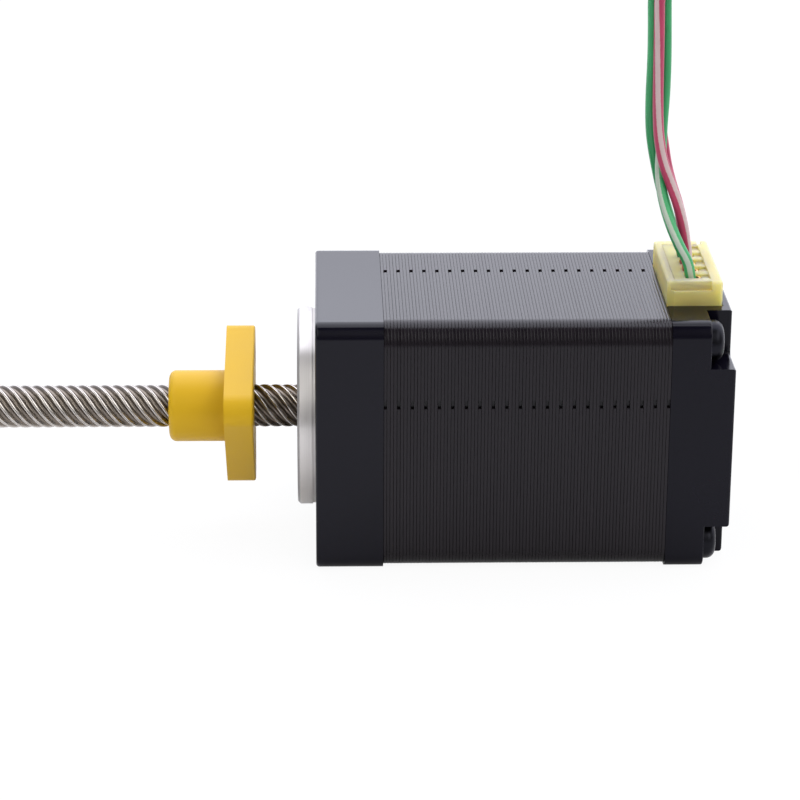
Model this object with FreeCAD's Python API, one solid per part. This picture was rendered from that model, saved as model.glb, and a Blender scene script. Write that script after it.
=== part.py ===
import FreeCAD, Part
import math
import os
from FreeCAD import Vector

# Linear stepper motor, millimetres.
# The origin is the centre of the front mounting face, on the screw axis.
# +X runs along the axis to the rear cap, the lead screw points to -X, +Z is up.

# Motor body
body_width = 28.2
body_length = 45.0
front_cap_length = 7.3
cap_corner_r = 1.6
cap_edge_r = 0.35
cap_wall = 1.7
boss_d = 22.0
boss_height = 2.0
boss_chamfer = 0.3
boss_groove_width = 0.35
boss_groove_depth = 0.12
hole_inset = 2.6
tapped_hole_d = 2.5
tapped_hole_depth = 4.8
rear_wall = 0.8
rear_opening_d = 7.6

# Connector
connector_width = 6.0
connector_rise = 2.7
connector_depth = 1.95
header_wall = 0.75
header_back_wall = 1.2
header_far_wall = 1.4
header_floor = 0.8
header_near_wall = 0.9
header_ledge = 0.4
header_ledge_drop = 1.05
header_corner = 0.7
header_notch = 0.5
plug_end_wall = 0.45
circuit_count = 5
circuit_pitch = 2.5
wired_circuits = 4
cavity_width = 1.7
cavity_depth = 0.95
groove_depth = 0.25
pin_size = 0.5
contact_size = 1.3
contact_wall = 0.25
contact_share = 0.55
pin_drop = 2.2
barrel_wall = 0.2

# Stator
stack_inset = 0.05
stack_corner_r = 2.4
back_iron = 2.6
pole_count = 8
teeth_per_pole = 5
pole_width = 2.2
shoe_thickness = 0.8
insulator_plate = 0.5
insulator_wall = 0.5
liner_wall = 0.25
coil_overhang = 2.2
collar_over_coil = 0.3
coil_gap = 0.6
coil_corner_r = 1.0
board_thickness = 0.8

# Rotor
rotor_d = 14.7
air_gap = 0.15
tooth_count = 50
tooth_depth = 0.45
tooth_share = 0.42
magnet_inset = 0.65
magnet_length = 1.6
rotor_spacer_length = 1.0
rotor_end_gap = 0.3
shaft_d = 5.0
sleeve_wall = 0.8

# Ball bearings
bearing_d = 11.0
bearing_width = 4.0
ball_d = 1.588
ball_count = 7
land_share = 0.35
cage_half_share = 0.72
cage_gap = 0.25
bearing_inset = 0.6
bearing_lip = 0.8
hub_wall = 1.3
shield_thickness = 0.2
washer_thickness = 0.2
washer_height = 0.6
washer_waves = 3
points_per_wave = 12

# Lead screw and nut
screw_d = 4.76
screw_length = 100.0
screw_end_chamfer = 0.5
nut_gap = 4.81
nut_barrel_d = 7.94
nut_barrel_length = 6.3
nut_barrel_round = 0.8
flange_thickness = 3.2
flange_reach = 9.84
flange_corner_r = 2.0
flange_edge_r = 0.25
flange_turn = 16.5
flange_hole_circle_d = 12.7
flange_hole_d = 2.7

# Case screws
case_screw_d = 2.1
case_screw_head_d = 4.4
case_screw_head_height = 1.45
head_round = 0.95
case_screw_grip = 1.8
recess_width = 0.6
recess_length = 2.4
recess_depth = 0.7
notch_depth = 2.7
notch_edge_r = 0.2

# Lead wires
wire_d = 1.18
wire_spacing = 1.36
coil_turn_r = 10.0
wire_coil_height = 5.0
tie_width = 3.0
tie_thickness = 0.3
coil_offset = 30.4
coil_near_y = 4.0
wire_straight = 2.9
gather_rise = 5.4
gather_shift = 0.9
gather_share = 0.3
bend_share = 0.45

# Clearances
running_clearance = 0.05
fit_gap = 0.01
seat_gap = 0.02
side_clearance = 0.1
loose_clearance = 0.2
end_clearance = 0.6
bolt_clearance = 0.15
mesh_gap = 0.05

# Places along the axis
rear_cap_length = seat_gap + connector_width + side_clearance + rear_wall
stack_front = front_cap_length
stack_rear = body_length - rear_cap_length
stack_length = stack_rear - stack_front
insulator_rise = coil_overhang + collar_over_coil
pocket_depth = insulator_rise + end_clearance
front_bearing_x = bearing_inset
rear_bearing_x = body_length - rear_wall - washer_height - bearing_width
rotor_front = stack_front + rotor_end_gap
rotor_rear = stack_rear - rotor_end_gap
nut_face_x = -boss_height - nut_gap
notch_x = body_length - notch_depth
rear_pocket_x = rear_bearing_x + bearing_width
board_x = rear_pocket_x - 2 * loose_clearance - board_thickness

# Radii worked out from the driving sizes
body_half = body_width / 2
stack_half = body_half - stack_inset
slot_r = body_half - back_iron
bore_r = rotor_d / 2 + air_gap
shoe_r = bore_r + tooth_depth + shoe_thickness
pocket_r = body_half - cap_wall
hub_r = bearing_d / 2 + hub_wall
magnet_r = rotor_d / 2 - magnet_inset
shaft_r = shaft_d / 2
shaft_bore_r = shaft_r + fit_gap
bearing_r = bearing_d / 2
ball_circle_r = (shaft_bore_r + bearing_r) / 2
land_offset = land_share * ball_d
hole_offset = body_half - hole_inset
notch_edge = hole_offset - case_screw_head_d / 2 - loose_clearance
bolt_hole_r = case_screw_d / 2 + bolt_clearance
bolt_places = [(y, z) for y in (-hole_offset, hole_offset) for z in (-hole_offset, hole_offset)]

AXIS = Vector(1, 0, 0)
UP = Vector(0, 0, 1)
ORIGIN = Vector(0, 0, 0)


def rod(radius, x0, x1, y=0.0, z=0.0):
    """Round bar along the axis."""
    return Part.makeCylinder(radius, x1 - x0, Vector(x0, y, z), AXIS)


def tube(outer, inner, x0, x1):
    """Hollow round bar along the axis."""
    return rod(outer, x0, x1).cut(rod(inner, x0, x1))


def block(x0, x1, y0, y1, z0, z1):
    """Box given by its two corners."""
    return Part.makeBox(x1 - x0, y1 - y0, z1 - z0, Vector(x0, y0, z0))


def rounded_bar(half, corner_r, x0, x1):
    """Square bar along the axis with its four long edges rounded."""
    bar = block(x0, x1, -half, half, -half, half)
    long_edges = [e for e in bar.Edges if abs(e.tangentAt(e.FirstParameter).x) > 0.99]
    return bar.makeFillet(corner_r, long_edges)


def turned(points):
    """Body of revolution about the axis from a closed outline of (x, radius) points."""
    outline = [Vector(x, 0, r) for x, r in points]
    outline.append(outline[0])
    return Part.Face(Part.makePolygon(outline)).revolve(ORIGIN, AXIS, 360)


def about_axis(shape, degrees):
    """Copy of a shape turned about the screw axis."""
    copy = shape.copy()
    copy.rotate(ORIGIN, AXIS, degrees)
    return copy


def polar(radius, degrees, x=0.0):
    """Point at a radius and an angle from +Y towards +Z."""
    a = math.radians(degrees)
    return Vector(x, radius * math.cos(a), radius * math.sin(a))


def joined(solids):
    """One fused solid."""
    return solids[0].fuse(solids[1:]).removeSplitter()


def save(name, shape):
    """Write one piece, and say what it is made of."""
    shape.exportStep("parts/" + name + ".step")
    print(name, len(shape.Solids), "solids", round(shape.Volume, 2), "mm3", shape.isValid())


def ends_at(shape, x):
    """Edges of a shape that lie in the plane at x."""
    return [e for e in shape.Edges if abs(e.BoundBox.XMin - x) < 1e-6 and abs(e.BoundBox.XMax - x) < 1e-6]


# End caps

def front_end_cap():
    """Square cap with the pilot boss, tapped corner holes, bearing seat and coil pocket."""
    cap = rounded_bar(body_half, cap_corner_r, 0, front_cap_length)
    cap = cap.makeFillet(cap_edge_r, ends_at(cap, 0))
    boss = rod(boss_d / 2, -boss_height, cap_edge_r)
    boss = boss.makeChamfer(boss_chamfer, ends_at(boss, -boss_height))
    boss = boss.cut(tube(boss_d / 2, boss_d / 2 - boss_groove_depth, -boss_groove_width, 0))
    cap = cap.fuse(boss)
    seat_end = front_bearing_x + bearing_width + loose_clearance
    pocket_x = front_cap_length - pocket_depth
    cuts = [rod(bearing_r - bearing_lip, -boss_height, front_cap_length)]
    cuts.append(rod(bearing_r + fit_gap, front_bearing_x, front_cap_length))
    cuts.append(tube(pocket_r, hub_r, pocket_x, front_cap_length))
    if seat_end < front_cap_length:
        cuts.append(rod(hub_r, max(seat_end, pocket_x), front_cap_length))
    for y, z in bolt_places:
        cuts.append(rod(tapped_hole_d / 2, 0, tapped_hole_depth, y, z))
        cuts.append(rod(case_screw_d / 2 + fit_gap, tapped_hole_depth, front_cap_length, y, z))
    return cap.cut(cuts).removeSplitter()


def rear_end_cap():
    """Square cap with cut-back corners, a window for the connector and the rear bearing seat."""
    cap = rounded_bar(body_half, cap_corner_r, stack_rear, body_length)
    reach = body_width
    for y, z in bolt_places:
        sy = math.copysign(1, y)
        sz = math.copysign(1, z)
        corner = block(notch_x, body_length, notch_edge, reach, notch_edge, reach)
        corner = corner.makeFillet(cap_edge_r, [e for e in corner.Edges if is_inner_edge(e)])
        if sy < 0:
            corner = corner.mirror(ORIGIN, Vector(0, 1, 0))
        if sz < 0:
            corner = corner.mirror(ORIGIN, UP)
        cap = cap.cut(corner)
    cap = cap.makeFillet(cap_edge_r, ends_at(cap, body_length))
    cap = cap.makeFillet(notch_edge_r, [e for e in ends_at(cap, notch_x) if is_outer_edge(e)])
    window_half = connector_half + side_clearance
    hub_front = rear_bearing_x - loose_clearance
    cuts = [rod(pocket_r, stack_rear, hub_front)]
    cuts.append(tube(pocket_r, hub_r, hub_front, rear_pocket_x))
    cuts.append(rod(bearing_r + fit_gap, hub_front, body_length - rear_wall))
    cuts.append(rod(rear_opening_d / 2, hub_front, body_length))
    window = block(stack_rear, connector_x1 + side_clearance, -window_half, window_half, hub_r, reach)
    cuts.append(window)
    for y, z in bolt_places:
        cuts.append(rod(bolt_hole_r, stack_rear, body_length, y, z))
    return cap.cut(cuts).removeSplitter()


def is_inner_edge(edge):
    """True for the edge of a corner cut that runs along the axis deep inside the cap."""
    box = edge.BoundBox
    return abs(box.YMax - notch_edge) < 1e-6 and abs(box.ZMax - notch_edge) < 1e-6


def is_outer_edge(edge):
    """True for an edge whose middle lies on the outside of the cap."""
    middle = edge.valueAt((edge.FirstParameter + edge.LastParameter) / 2)
    return max(abs(middle.y), abs(middle.z)) > body_half - cap_corner_r / 2


# Stator

def stack_bore():
    """Outline of the opening in a lamination: toothed pole shoes, pole necks and slot backs."""
    pitch = 360.0 / tooth_count
    half_tooth = tooth_share * pitch / 2
    neck = pole_width / 2
    shoe_half = (teeth_per_pole - 1) / 2 * pitch + half_tooth
    neck_top = math.degrees(math.asin(neck / slot_r))
    neck_foot = math.degrees(math.atan2(neck, shoe_r))
    neck_foot_r = math.hypot(neck, shoe_r)
    shoe_edge_r = bore_r + tooth_depth
    step = 360.0 / pole_count
    edges = []
    for pole in range(pole_count):
        middle = pole * step
        outline = [polar(slot_r, middle - neck_top), polar(neck_foot_r, middle - neck_foot)]
        outline.append(polar(shoe_edge_r, middle - shoe_half))
        for tooth in range(teeth_per_pole):
            centre = middle + (tooth - (teeth_per_pole - 1) / 2) * pitch
            for side in (-1, 1):
                tip = polar(bore_r, centre + side * half_tooth)
                root = polar(bore_r + tooth_depth, centre + side * half_tooth)
                outline += [root, tip] if side < 0 else [tip, root]
        outline += [polar(neck_foot_r, middle + neck_foot), polar(slot_r, middle + neck_top)]
        for a, b in zip(outline, outline[1:]):
            if a.distanceToPoint(b) > 1e-6:
                edges.append(Part.LineSegment(a, b).toShape())
        slot_end = polar(slot_r, middle + step - neck_top)
        slot_back = polar(slot_r, middle + step / 2)
        edges.append(Part.Arc(outline[-1], slot_back, slot_end).toShape())
    return Part.Face(Part.Wire(edges))


def stator_core():
    """Stack of laminations: a rounded square with the pole opening and the case screw holes."""
    opening = stack_bore().extrude(Vector(stack_length, 0, 0))
    opening.translate(Vector(stack_front, 0, 0))
    core = rounded_bar(stack_half, stack_corner_r, stack_front, stack_rear)
    holes = [rod(bolt_hole_r, stack_front, stack_rear, y, z) for y, z in bolt_places]
    return core.cut([opening] + holes)


def slot_insulator():
    """Front insulator: an end plate, a collar, a tongue behind each shoe and the slot liners."""
    step = 360.0 / pole_count
    x0 = stack_front - insulator_plate
    end = stack_front - insulator_rise
    plate_r = slot_r + insulator_wall
    inner_r = bore_r + tooth_depth
    neck = pole_width / 2
    ring = tube(plate_r, inner_r, x0, stack_front)
    lug_half = neck + liner_wall + seat_gap
    arm = block(x0, stack_front, inner_r, plate_r, -lug_half, lug_half)
    arms = [about_axis(arm, k * step) for k in range(pole_count)]
    collar = tube(plate_r, slot_r, end, stack_front)
    window = tube(slot_r, shoe_r, x0, stack_front)
    plate = joined([ring.cut(window), collar] + arms)
    tongue_ring = tube(shoe_r - seat_gap, inner_r, end, stack_front)
    keep = block(end, stack_front, 0, plate_r, -2 * neck, 2 * neck)
    tongues = [tongue_ring.common(about_axis(keep, k * step)) for k in range(pole_count)]
    liner_top = math.sqrt((slot_r - seat_gap) ** 2 - lug_half ** 2)
    liner = block(x0, stack_front + stack_length / 2 - seat_gap, shoe_r + seat_gap, liner_top,
                  neck + seat_gap, lug_half)
    other = liner.mirror(ORIGIN, UP)
    liners = [about_axis(s, k * step) for k in range(pole_count) for s in (liner, other)]
    return joined([plate] + tongues + liners)


def rear_insulator():
    """The front insulator turned round, with four posts that carry the terminal board."""
    body = slot_insulator().mirror(Vector(stack_front + stack_length / 2, 0, 0), AXIS)
    post = tube(slot_r + insulator_wall, slot_r, stack_rear + insulator_rise - insulator_plate, board_x)
    half_step = 180.0 / pole_count
    keep = block(stack_rear, board_x, 0, body_width, -pole_width / 2, pole_width / 2)
    posts = [post.common(about_axis(keep, a + s * half_step)) for a in (0, 180) for s in (-1, 1)]
    return joined([body] + posts)


def pole_coil():
    """One coil: a rounded frame round a pole neck, longer than the stack at both ends."""
    inner = pole_width / 2 + liner_wall + 2 * seat_gap + side_clearance
    low = shoe_r + side_clearance
    outer = low * math.tan(math.pi / pole_count) - coil_gap / 2
    high = math.sqrt((slot_r - loose_clearance) ** 2 - outer ** 2)
    end = coil_overhang
    gap = insulator_plate + side_clearance
    frame = block(stack_front - end, stack_rear + end, low, high, -outer, outer)
    window = block(stack_front - gap, stack_rear + gap, low, high, -inner, inner)
    upright = [e for e in frame.Edges if abs(e.tangentAt(e.FirstParameter).y) > 0.99]
    return frame.makeFillet(coil_corner_r, upright).cut(window)


def phase_coils(first):
    """Every second coil round the stator: the four coils of one phase."""
    step = 360.0 / pole_count
    return Part.makeCompound([about_axis(pole_coil(), k * step) for k in range(first, pole_count, 2)])


# Rotor

def rotor_cup(x0, x1, turn):
    """Toothed cup, a tooth turned by a part of the tooth pitch, with the shaft bore."""
    pitch = 360.0 / tooth_count
    half_tooth = tooth_share * pitch / 2
    tip = rotor_d / 2
    root = tip - tooth_depth
    outline = []
    for tooth in range(tooth_count):
        a = (tooth + turn) * pitch
        outline += [polar(root, a - half_tooth, x0), polar(tip, a - half_tooth, x0)]
        outline += [polar(tip, a + half_tooth, x0), polar(root, a + half_tooth, x0)]
    outline.append(outline[0])
    cup = Part.Face(Part.makePolygon(outline)).extrude(Vector(x1 - x0, 0, 0))
    return cup.cut(rod(shaft_bore_r, x0, x1))


def rotor_pieces():
    """Two sections of cup, magnet and cup, a half tooth apart, with a spacer between them."""
    total = rotor_rear - rotor_front
    cup = (total - rotor_spacer_length - 2 * magnet_length) / 4
    pieces = {}
    x = rotor_front
    for section in ("front", "rear"):
        pieces[section + "_rotor_cup_outer"] = rotor_cup(x, x + cup, 0.0)
        x += cup
        pieces[section + "_rotor_magnet"] = tube(magnet_r, shaft_bore_r, x, x + magnet_length)
        x += magnet_length
        pieces[section + "_rotor_cup_inner"] = rotor_cup(x, x + cup, 0.5)
        x += cup
        if section == "front":
            spacer_r = shaft_r + 2 * sleeve_wall
            pieces["rotor_spacer"] = tube(spacer_r, shaft_bore_r, x, x + rotor_spacer_length)
            x += rotor_spacer_length
    return pieces


def lead_screw():
    """Screw at its outside diameter, with the shaft that carries the rotor and both bearings."""
    tip = -screw_length
    c = screw_end_chamfer
    shoulder = front_bearing_x - side_clearance
    shaft_end = body_length - rear_wall
    r = screw_d / 2
    outline = [(tip, 0), (tip, r - c), (tip + c, r), (shoulder, r), (shoulder, shaft_r)]
    outline += [(shaft_end - c, shaft_r), (shaft_end, shaft_r - c), (shaft_end, 0)]
    return turned(outline)


def shaft_sleeve(x0, x1):
    """Sleeve that keeps the rotor off a bearing's inner ring."""
    return tube(shaft_r + sleeve_wall, shaft_bore_r, x0, x1)


# Ball bearings

def race(x0):
    """Ring-shaped channel that the balls of a bearing run in."""
    centre = Vector(x0 + bearing_width / 2, 0, ball_circle_r)
    circle = Part.Circle(centre, Vector(0, 1, 0), ball_d / 2 + mesh_gap)
    return Part.Face(Part.Wire(circle.toShape())).revolve(ORIGIN, AXIS, 360)


def bearing_rings(x0):
    """Outer ring with seats for the shields, and inner ring, both with the ball track."""
    x1 = x0 + bearing_width
    land = ball_circle_r + land_offset
    seat = shield_seat_r()
    depth = shield_thickness + side_clearance
    outer = tube(bearing_r, land, x0, x1)
    outer = outer.cut([tube(seat, land / 2, x0, x0 + depth), tube(seat, land / 2, x1 - depth, x1)])
    inner = tube(ball_circle_r - land_offset, shaft_bore_r, x0, x1)
    return outer.cut(race(x0)), inner.cut(race(x0))


def shield_seat_r():
    """Radius of the step in the outer ring that a shield sits in."""
    return ball_circle_r + land_offset + side_clearance


def bearing_shields(x0):
    """Thin plates that close both sides of a bearing, clear of the inner ring."""
    inner = ball_circle_r - land_offset + side_clearance
    outer = shield_seat_r() - seat_gap
    far = x0 + bearing_width - side_clearance
    near = x0 + side_clearance
    plates = [tube(outer, inner, near, near + shield_thickness)]
    plates.append(tube(outer, inner, far - shield_thickness, far))
    return Part.makeCompound(plates)


def bearing_balls(x0):
    """The balls of one bearing."""
    ball = Part.makeSphere(ball_d / 2, polar(ball_circle_r, 0, x0 + bearing_width / 2))
    return Part.makeCompound([about_axis(ball, k * 360.0 / ball_count) for k in range(ball_count)])


def bearing_cage(x0):
    """Ring with a round pocket for each ball."""
    middle = x0 + bearing_width / 2
    half = cage_half_share * ball_d
    wall = land_offset - cage_gap
    ring = tube(ball_circle_r + wall, ball_circle_r - wall, middle - half, middle + half)
    pocket_size = ball_d / 2 + mesh_gap
    pocket = Part.makeCylinder(pocket_size, 2 * ball_circle_r, Vector(middle, 0, 0), Vector(0, 1, 0))
    return ring.cut([about_axis(pocket, k * 360.0 / ball_count) for k in range(ball_count)])


def wave_washer():
    """Spring ring that waves along the axis between the rear bearing and the rear wall."""
    lift = (washer_height - washer_thickness) / 2 - seat_gap
    middle = rear_bearing_x + bearing_width + washer_height / 2 - washer_thickness / 2
    steps = points_per_wave * washer_waves

    def rim(radius, x):
        places = []
        for k in range(steps):
            wave = math.cos(2 * math.pi * washer_waves * k / steps)
            places.append(polar(radius, k * 360.0 / steps, x + lift * wave))
        curve = Part.BSplineCurve()
        curve.interpolate(places, PeriodicFlag=True)
        return curve.toShape()

    inner_r = bearing_r - 2 * bearing_lip
    outer_r = bearing_r - side_clearance
    back = Part.makeRuledSurface(rim(inner_r, middle), rim(outer_r, middle))
    return back.extrude(Vector(washer_thickness, 0, 0))


# Connector

connector_x0 = stack_rear + seat_gap
connector_x1 = connector_x0 + connector_width
plug_length = (circuit_count - 1) * circuit_pitch + cavity_width + 2 * plug_end_wall
connector_half = (header_near_wall + plug_length + header_far_wall) / 2 + side_clearance
connector_top = body_half + connector_rise
connector_base = body_half - connector_depth
plug_x0 = connector_x0 + header_wall + mesh_gap
plug_x1 = connector_x1 - header_back_wall - mesh_gap
plug_y0 = -connector_half + header_near_wall + mesh_gap
plug_y1 = connector_half - header_far_wall - mesh_gap
plug_top = connector_top - mesh_gap
plug_middle_x = (connector_x0 + connector_x1) / 2
plug_middle_y = (plug_y0 + plug_y1) / 2
first_circuit_y = plug_middle_y - (circuit_count - 1) / 2 * circuit_pitch
circuit_places = [first_circuit_y + k * circuit_pitch for k in range(circuit_count)]
contact_base = connector_base + header_floor + side_clearance
contact_top = contact_base + contact_share * (plug_top - contact_base)
barrel_top = plug_top - loose_clearance
pin_foot_z = connector_base - pin_drop


def header_housing():
    """Open-topped shroud: a cut corner, a ledge and a post at its near end, a notch in its far wall."""
    shell = block(connector_x0, connector_x1, -connector_half, connector_half,
                  connector_base, connector_top)
    upright = [e for e in shell.Edges if is_upright(e)]
    near_left = [e for e in upright if e.BoundBox.XMax < plug_middle_x and e.BoundBox.YMax < 0]
    shell = shell.makeChamfer(header_corner, near_left)
    upright = [e for e in shell.Edges if is_upright(e)]
    others = [e for e in upright if max(e.BoundBox.XMin - plug_middle_x, e.BoundBox.YMin) > 0]
    shell = shell.makeFillet(cap_edge_r, others)
    top = [e for e in shell.Edges if e.BoundBox.ZMin > connector_top - 1e-6]
    shell = shell.makeFillet(cap_edge_r, top)
    well_x1 = connector_x1 - header_back_wall
    well = block(connector_x0 + header_wall, well_x1,
                 -connector_half + header_near_wall, connector_half - header_far_wall,
                 connector_base + header_floor, connector_top)
    step = block(connector_x0, well_x1, -connector_half, -connector_half + header_ledge,
                 connector_top - header_ledge_drop, connector_top)
    notch = block(plug_x1, plug_x1 + header_notch, connector_half - header_far_wall,
                  connector_half, connector_top - header_notch, connector_top)
    hole = pin_size / 2 + seat_gap
    holes = [block(plug_middle_x - hole, plug_middle_x + hole, y - hole, y + hole,
                   connector_base, connector_top) for y in circuit_places]
    return shell.cut([well, step, notch] + holes)


def is_upright(edge):
    """True for a straight edge that runs up and down."""
    return abs(edge.tangentAt(edge.FirstParameter).z) > 0.99


def header_pins():
    """Square pins that stand in the shroud and bend back through the terminal board."""
    half = pin_size / 2
    pins = []
    for y in circuit_places:
        post = block(plug_middle_x - half, plug_middle_x + half, y - half, y + half,
                     pin_foot_z - half, contact_top - contact_wall - side_clearance)
        foot = block(plug_middle_x - half, board_x + board_thickness + side_clearance, y - half, y + half,
                     pin_foot_z - half, pin_foot_z + half)
        pins.append(joined([post, foot]))
    return Part.makeCompound(pins)


def plug_housing():
    """Plug body with a cavity for each circuit and a shallow groove from it to the rear side."""
    floor_z = connector_base + header_floor + seat_gap
    body = block(plug_x0, plug_x1, plug_y0, plug_y1, floor_z, plug_top)
    edges = [e for e in body.Edges if e.BoundBox.ZMin > plug_top - 1e-6]
    body = body.makeChamfer(mesh_gap, edges)
    half = cavity_width / 2
    cavity_x1 = plug_middle_x + cavity_depth
    cuts = []
    for y in circuit_places:
        cuts.append(block(plug_middle_x - cavity_depth, cavity_x1, y - half, y + half,
                          contact_base, plug_top))
        cuts.append(block(cavity_x1, plug_x1, y - half, y + half, plug_top - groove_depth, plug_top))
        hole = pin_size
        cuts.append(block(plug_middle_x - hole, plug_middle_x + hole, y - hole, y + hole,
                          floor_z, plug_top))
    return body.cut(cuts)


def crimp_contacts():
    """Box contact round each wired pin, with a crimped barrel round the wire above it."""
    outer = contact_size / 2
    inner = outer - contact_wall
    wire_r = wire_d / 2
    pieces = []
    for y in circuit_places[:wired_circuits]:
        box = block(plug_middle_x - outer, plug_middle_x + outer, y - outer, y + outer,
                    contact_base, contact_top)
        core = block(plug_middle_x - inner, plug_middle_x + inner, y - inner, y + inner,
                     contact_base, contact_top - contact_wall)
        barrel = Part.makeCylinder(wire_r + barrel_wall, barrel_top - contact_top,
                                   Vector(plug_middle_x, y, contact_top), UP)
        grip = Part.makeCylinder(wire_r + seat_gap, barrel_top - contact_top,
                                 Vector(plug_middle_x, y, contact_top), UP)
        pieces.append(box.cut(core).fuse(barrel).cut(grip).removeSplitter())
    return Part.makeCompound(pieces)


def terminal_board():
    """Round board behind the coils, with a straight tab that the header pins go through."""
    x1 = board_x + board_thickness
    tab_half = connector_half - loose_clearance
    ring = rod(slot_r + insulator_wall, board_x, x1)
    tab = block(board_x, x1, -tab_half, tab_half, hub_r, connector_base - side_clearance)
    hole = pin_size / 2 + seat_gap
    cuts = [rod(hub_r + loose_clearance, board_x, x1)]
    for y in circuit_places:
        cuts.append(block(board_x, x1, y - hole, y + hole, pin_foot_z - hole, pin_foot_z + hole))
    return joined([ring, tab]).cut(cuts)


# Screws and nut

def case_screws():
    """Four long pan-head screws that clamp both caps on the stack."""
    r = case_screw_d / 2
    head_r = case_screw_head_d / 2
    tip = front_cap_length - case_screw_grip
    top = notch_x + case_screw_head_height
    head = rod(head_r, notch_x, top)
    head = head.makeFillet(head_round, ends_at(head, top))
    arm = recess_length / 2
    half = recess_width / 2
    cross = [block(top - recess_depth, top, -arm, arm, -half, half)]
    cross.append(about_axis(cross[0], 90))
    screw = head.cut(cross).fuse(rod(r, tip, notch_x)).removeSplitter()
    screws = []
    for y, z in bolt_places:
        copy = screw.copy()
        copy.translate(Vector(0, y, z))
        screws.append(copy)
    return Part.makeCompound(screws)


def lead_nut():
    """Round barrel with a rounded three-cornered flange, three holes and the screw bore."""
    x1 = nut_face_x
    x0 = x1 - flange_thickness
    tip = x0 - nut_barrel_length
    centre_r = flange_reach - flange_corner_r
    first = 180.0 - flange_turn
    edges = []
    for k in range(3):
        a = first + k * 120.0
        corner = polar(centre_r, a, x0)
        start = corner + polar(flange_corner_r, a - 60.0)
        middle = corner + polar(flange_corner_r, a)
        end = corner + polar(flange_corner_r, a + 60.0)
        following = polar(centre_r, a + 120.0, x0) + polar(flange_corner_r, a + 60.0)
        edges.append(Part.Arc(start, middle, end).toShape())
        edges.append(Part.LineSegment(end, following).toShape())
    flange = Part.Face(Part.Wire(edges)).extrude(Vector(flange_thickness, 0, 0))
    flange = flange.makeFillet(flange_edge_r, ends_at(flange, x1))
    bore = screw_d / 2 + running_clearance
    barrel = rod(nut_barrel_d / 2, tip, x1)
    barrel = barrel.makeFillet(nut_barrel_round, ends_at(barrel, tip))
    cuts = [rod(bore, tip, x1)]
    for k in range(3):
        place = polar(flange_hole_circle_d / 2, first + k * 120.0)
        cuts.append(rod(flange_hole_d / 2, x0, x1, place.y, place.z))
    return flange.fuse(barrel).cut(cuts).removeSplitter()


# Lead wires

# Stations of the bundle: x, y, z and its twist in degrees.
# It rises from the plug's top and arches over to the rear.
rise_route = [
    (-2.4, 0.6, 8.3, 40.0),
    (-3.8, 1.0, 14.5, 60.0),
    (-4.1, 1.4, 21.5, 75.0),
    (-3.9, 1.5, 29.5, 90.0),
    (-1.9, 1.6, 37.3, 90.0),
    (3.5, 1.8, 42.9, 90.0),
    (10.7, 2.1, 43.1, 90.0),
    (16.9, 2.5, 38.3, 90.0),
    (20.5, 2.8, 29.7, 90.0),
    (22.5, 3.1, 18.9, 90.0),
    (23.3, 3.3, 7.1, 90.0),
]
# It comes down beside the motor and runs into the near side of the coil.
fall_route = [
    (-6.9, 3.4, 25.2, 90.0),
    (-6.3, 3.6, 14.2, 90.0),
    (-4.3, 3.9, 6.6, 90.0),
    (-0.5, 4.0, 2.6, 90.0),
]
coil_centre = (plug_middle_x + coil_offset, coil_near_y + coil_turn_r)
coil_half = 2 * wire_spacing
coil_low = -body_half + tie_thickness + 2 * seat_gap
bundle_route = [(plug_middle_x + x, y, connector_top + z, twist) for x, y, z, twist in rise_route]
bundle_route += [(coil_centre[0] + x, y, coil_low + z, twist) for x, y, z, twist in fall_route]
wire_names = ("wire_green_striped", "wire_red_striped", "wire_red", "wire_green")
wire_corners = (225.0, 315.0, 135.0, 45.0)


def wire_route(index):
    """A wire's points: out of its crimp, over to its corner of the bundle, and along with it."""
    y = circuit_places[index]
    start = Vector(plug_middle_x, y, contact_top + seat_gap)
    route = [start, start + Vector(0, 0, wire_straight)]
    route.append(start + Vector(-gather_shift, -gather_share * y, gather_rise))
    stations = [Vector(x, y, z) for x, y, z, twist in bundle_route]
    for k, place in enumerate(stations):
        ahead = stations[min(k + 1, len(stations) - 1)] - stations[max(k - 1, 0)]
        across = Vector(0, 1, 0)
        beside = ahead.cross(across).normalize()
        angle = math.radians(wire_corners[index] + bundle_route[k][3])
        reach = wire_spacing / math.sqrt(2)
        route.append(place + beside * (reach * math.cos(angle)) + across * (reach * math.sin(angle)))
    return route


def cord(points, diameter):
    """Tube along straight runs joined by tangent arcs, each as large as its runs allow."""
    edges = []
    here = points[0]
    radii = []
    for before, corner, after in zip(points, points[1:], points[2:]):
        back = (before - corner).normalize()
        ahead = (after - corner).normalize()
        run = bend_share * min((before - corner).Length, (after - corner).Length)
        turn = math.pi - back.getAngle(ahead)
        radius = run / math.tan(turn / 2)
        radii.append(radius)
        start = corner + back * run
        end = corner + ahead * run
        bisector = (back + ahead).normalize()
        middle = corner + bisector * (radius / math.cos(turn / 2) - radius)
        edges.append(Part.LineSegment(here, start).toShape())
        edges.append(Part.Arc(start, middle, end).toShape())
        here = end
    edges.append(Part.LineSegment(here, points[-1]).toShape())
    path = Part.Wire(edges)
    section = Part.Wire(Part.Circle(points[0], points[1] - points[0], diameter / 2).toShape())
    solid = path.makePipeShell([section], True, False)
    expected = path.Length * math.pi * diameter ** 2 / 4
    print("cord", round(path.Length, 1), "mm, volume ratio", round(solid.Volume / expected, 4),
          "radii", [round(r, 1) for r in radii])
    return solid


def wire_coil():
    """Outer shape of the wound end of the four wires, lying where the motor stands."""
    foot = Vector(*coil_centre, coil_low)
    ring = Part.makeCylinder(coil_turn_r + coil_half, wire_coil_height, foot, UP)
    ring = ring.cut(Part.makeCylinder(coil_turn_r - coil_half, wire_coil_height, foot, UP))
    return ring.makeChamfer(wire_d / 2, rims(ring))


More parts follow.
